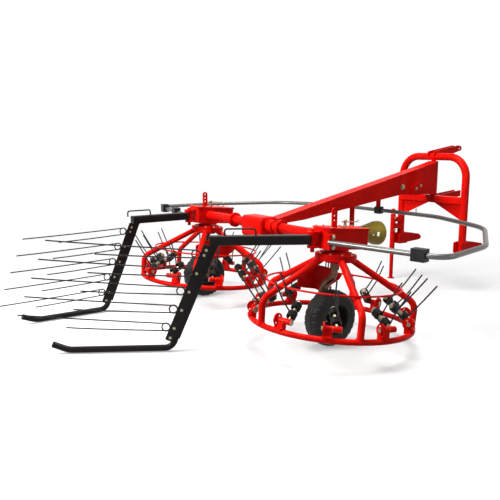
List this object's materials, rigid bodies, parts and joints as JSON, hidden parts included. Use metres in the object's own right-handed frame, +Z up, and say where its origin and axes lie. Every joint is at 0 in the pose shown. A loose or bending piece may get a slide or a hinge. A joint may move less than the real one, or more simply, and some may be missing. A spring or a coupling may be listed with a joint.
{
  "type": "two-rotor basket rotary hay rake",
  "caption": "Red tractor-mounted hay rake with two tined basket rotors on wheels, black swath gates, guard rail, drawbar and three-point headstock.",
  "frame": {"origin": "on the ground at the middle of the machine's length and width, 0.24 m ahead of the line through the two wheel axles", "axes": "+X to the machine's right, +Y forwards to the headstock, +Z up"},
  "size_m": [3.0878, 3.8942, 1.203],
  "materials": {
    "red_paint": "gloss",
    "black_paint": "satin",
    "zinc_steel": "satin",
    "galvanised_tube": "satin",
    "spring_steel": "satin",
    "grey_rim": "satin",
    "tyre_rubber": "matte",
    "yellow_plastic": "satin",
    "black_plastic": "satin"
  },
  "bodies": {
    "frame": {"drawbar": "red_paint", "centre_gearbox": "red_paint", "crossbeam_left": "red_paint", "crossbeam_right": "red_paint", "gearbox_left": "red_paint", "gearbox_right": "red_paint", "height_bar_left": "red_paint", "height_bar_right": "red_paint", "leg_left": "red_paint", "leg_right": "red_paint", "shield_left": "red_paint", "shield_right": "red_paint", "drive_tube": "red_paint", "bearing_housing": "red_paint", "drive_shaft": "zinc_steel", "guard_cone": "yellow_plastic", "drive_strut": "red_paint", "guard_rail_left": "galvanised_tube", "guard_rail_right": "galvanised_tube", "rail_foot_left": "zinc_steel", "rail_foot_right": "zinc_steel", "rail_clamps": "black_plastic", "rail_hanger": "red_paint"},
    "rotor_right": {"rotor_right_hub": "red_paint", "rotor_right_basket": "red_paint", "rotor_right_brackets": "red_paint", "rotor_right_carriers": "zinc_steel", "rotor_right_tines": "spring_steel"},
    "rotor_left": {"rotor_left_hub": "red_paint", "rotor_left_basket": "red_paint", "rotor_left_brackets": "red_paint", "rotor_left_carriers": "zinc_steel", "rotor_left_tines": "spring_steel"},
    "wheel_right": {"wheel_right_rim": "grey_rim", "wheel_right_tyre": "tyre_rubber"},
    "wheel_left": {"wheel_left_rim": "grey_rim", "wheel_left_tyre": "tyre_rubber"},
    "gate_right": {"gate_right_arm": "black_paint", "gate_right_tine_bar": "black_paint", "gate_right_skid": "black_paint", "gate_right_handle": "black_paint", "gate_right_tines": "spring_steel"},
    "gate_left": {"gate_left_arm": "black_paint", "gate_left_tine_bar": "black_paint", "gate_left_skid": "black_paint", "gate_left_handle": "black_paint", "gate_left_tines": "spring_steel"},
    "headstock": {"headstock_frame": "red_paint", "top_link_bracket": "red_paint", "middle_bracket": "red_paint", "lower_link_bracket_left": "red_paint", "lower_link_bracket_right": "red_paint", "hitch_pins": "zinc_steel", "stand_sleeve": "red_paint"},
    "stand": {"stand_leg": "red_paint"}
  },
  "joints": [
    {"name": "rotor_right_spin", "type": "hinge", "parent": "frame", "child": "rotor_right", "pos_m": [0.75, -0.23987, 0.1715], "axis": [0, 0.0872, 0.9962], "continuous": true},
    {"name": "rotor_left_spin", "type": "hinge", "parent": "frame", "child": "rotor_left", "pos_m": [-0.75, -0.23987, 0.1715], "axis": [0, 0.0872, 0.9962], "continuous": true},
    {"name": "wheel_right_roll", "type": "hinge", "parent": "frame", "child": "wheel_right", "pos_m": [0.75, -0.23987, 0.1715], "axis": [1, 0, 0], "continuous": true},
    {"name": "wheel_left_roll", "type": "hinge", "parent": "frame", "child": "wheel_left", "pos_m": [-0.75, -0.23987, 0.1715], "axis": [1, 0, 0], "continuous": true},
    {"name": "gate_right_swing", "type": "hinge", "parent": "frame", "child": "gate_right", "pos_m": [0.735, -0.37987, 0.661], "axis": [0, 0, 1], "range_deg": [-5, 25]},
    {"name": "gate_left_swing", "type": "hinge", "parent": "frame", "child": "gate_left", "pos_m": [-0.735, -0.37987, 0.661], "axis": [0, 0, 1], "range_deg": [-15, 15]},
    {"name": "headstock_swivel", "type": "hinge", "parent": "frame", "child": "headstock", "pos_m": [0, 1.60213, 0.93], "axis": [0, 0, 1], "range_deg": [-15, 15]},
    {"name": "stand_slide", "type": "slide", "parent": "headstock", "child": "stand", "axis": [0, 0, 1], "range_m": [0, 0.25]}
  ],
  "couplings": [
    {"joint": "rotor_left_spin", "follows": "rotor_right_spin", "ratio": -1}
  ]
}
